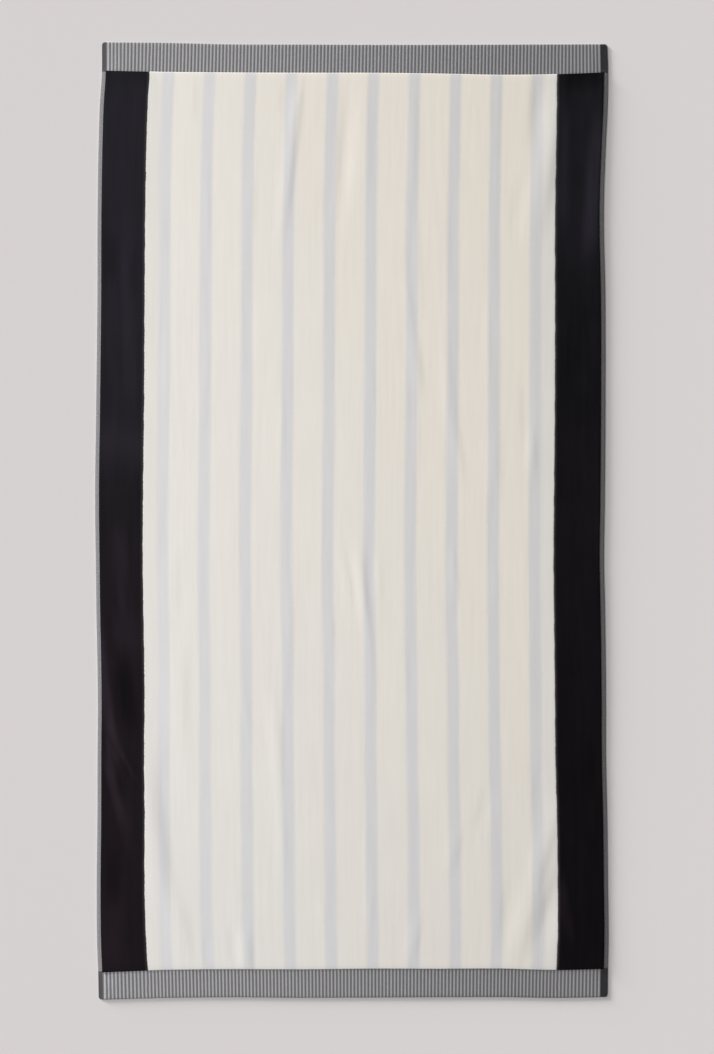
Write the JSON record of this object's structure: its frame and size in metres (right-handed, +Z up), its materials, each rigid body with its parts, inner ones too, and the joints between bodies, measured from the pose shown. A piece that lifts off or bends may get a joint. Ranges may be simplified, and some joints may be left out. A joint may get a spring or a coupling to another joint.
{
  "type": "beach towel",
  "caption": "Rectangular beach towel laid flat: striped cream velour ground, dark side bands and flat-woven pinstriped end hems.",
  "frame": {"origin": "centre of the underside, on the surface that the towel lies on", "axes": "+Z up through the cloth, +Y along the towel's length, +X across its width"},
  "size_m": [0.9152, 1.7076, 0.0053],
  "materials": {
    "ground": "cream cotton velour with pale grey lengthwise stripes",
    "band": "black cotton velour",
    "hem": "flat weave with fine black and white pinstripes"
  },
  "bodies": {
    "root": {"towel": "ground"}
  },
  "joints": []
}
